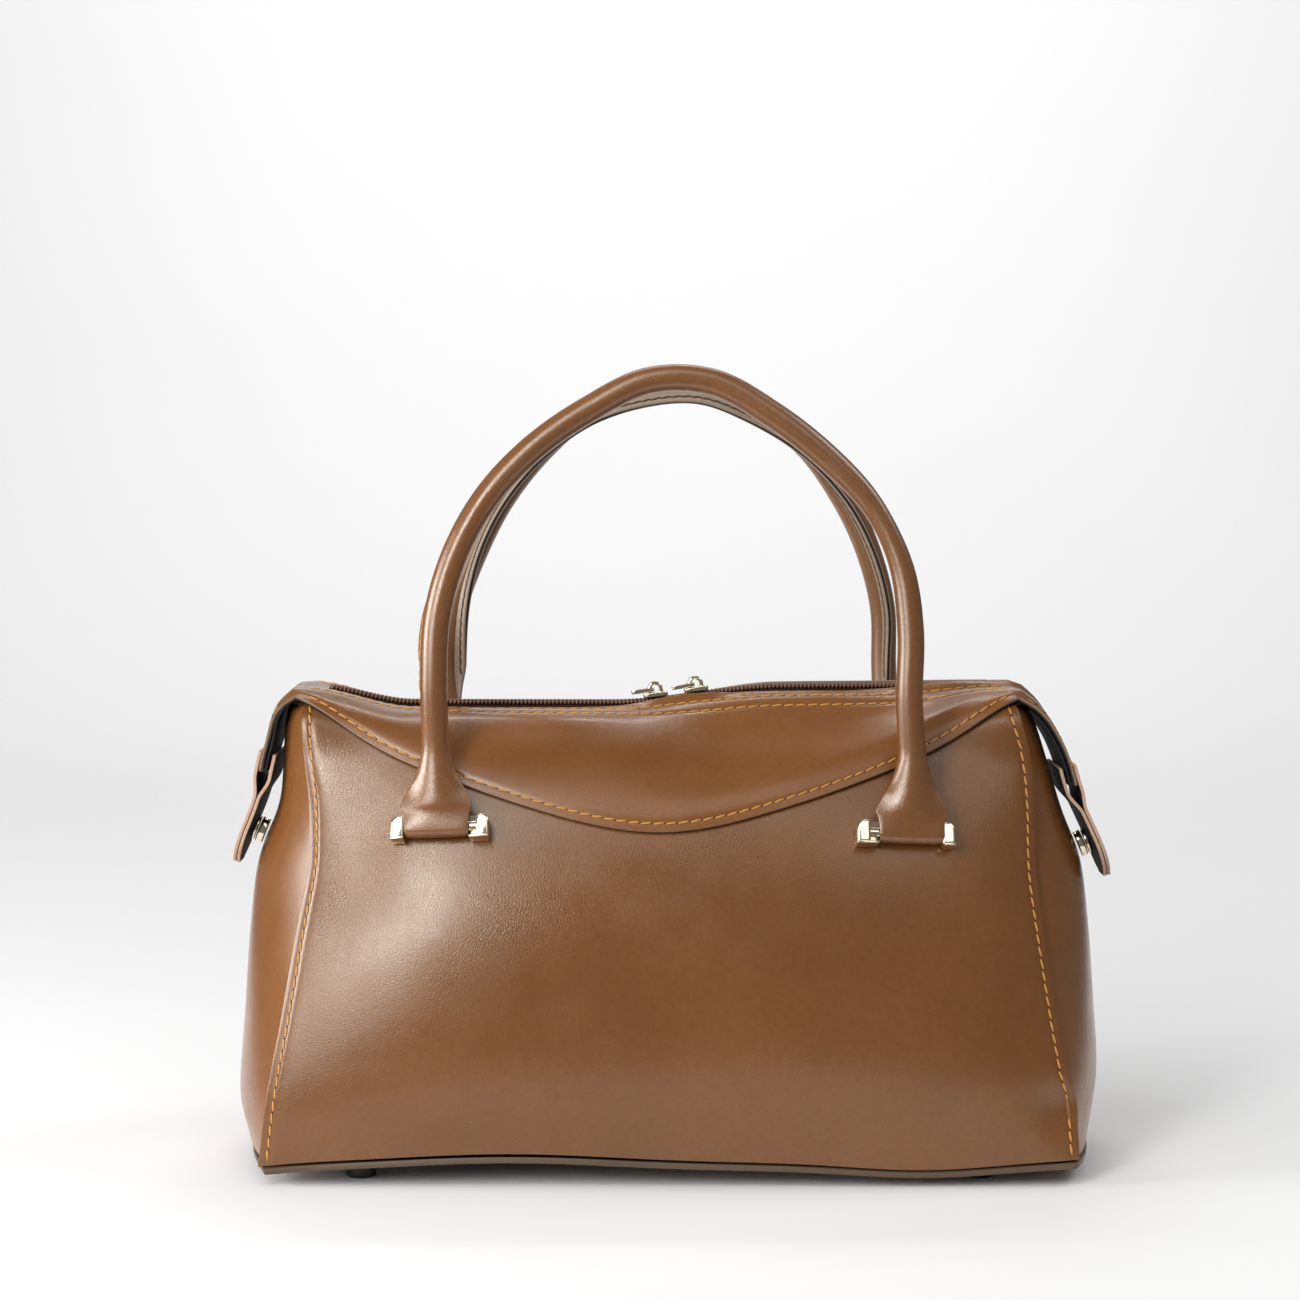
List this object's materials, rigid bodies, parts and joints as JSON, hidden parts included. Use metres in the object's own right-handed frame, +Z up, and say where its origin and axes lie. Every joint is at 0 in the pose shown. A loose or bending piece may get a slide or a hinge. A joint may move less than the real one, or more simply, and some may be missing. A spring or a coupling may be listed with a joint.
{
  "type": "zip-top handbag",
  "caption": "Structured leather handbag with a scalloped zipped top, rolled handles on metal bridges, snapped end tabs and short feet.",
  "frame": {"origin": "on the floor under the middle of the bag, at the bottom of the feet", "axes": "+Z up, +X along the bag's length to the right as seen from the front, -Y out of the front"},
  "size_m": [0.3578, 0.1568, 0.3183],
  "materials": {
    "tan_leather": "smooth satin tan leather with dark painted edges",
    "dark_lining": "matte black backing",
    "zip_tape": "brown woven tape",
    "zip_coil": "brown nylon coil",
    "pale_gold_metal": "polished pale gold plate",
    "dark_foot": "black"
  },
  "bodies": {
    "bag": {"top_panel": "tan_leather", "base_panel": "tan_leather", "front_panel": "tan_leather", "back_panel": "tan_leather", "gusset_left": "tan_leather", "gusset_right": "tan_leather", "handle_front": "tan_leather", "handle_back": "tan_leather", "tab_outer_left": "tan_leather", "tab_outer_right": "tan_leather", "tab_inner_left": "tan_leather", "tab_inner_right": "tan_leather", "strap_lining_left": "dark_lining", "strap_lining_right": "dark_lining", "zip_tape_front": "zip_tape", "zip_tape_back": "zip_tape", "zip_chain": "zip_coil", "zip_slider_left": "pale_gold_metal", "zip_slider_right": "pale_gold_metal", "bridge_front_left": "pale_gold_metal", "bridge_front_right": "pale_gold_metal", "bridge_back_left": "pale_gold_metal", "bridge_back_right": "pale_gold_metal", "snap_socket_left": "pale_gold_metal", "snap_socket_right": "pale_gold_metal", "snap_stud_left": "pale_gold_metal", "snap_stud_right": "pale_gold_metal", "foot_front_left": "dark_foot", "foot_front_right": "dark_foot", "foot_back_left": "dark_foot", "foot_back_right": "dark_foot"},
    "pull_left": {"zip_pull_left": "pale_gold_metal"},
    "pull_right": {"zip_pull_right": "pale_gold_metal"}
  },
  "joints": [
    {"name": "pull_left_swing", "type": "hinge", "parent": "bag", "child": "pull_left", "pos_m": [-0.00583, 0, 0.18854], "axis": [0, 1, 0], "range_deg": [0, 140]},
    {"name": "pull_right_swing", "type": "hinge", "parent": "bag", "child": "pull_right", "pos_m": [0.01056, 0, 0.19073], "axis": [0, 1, 0], "range_deg": [0, 165]}
  ]
}
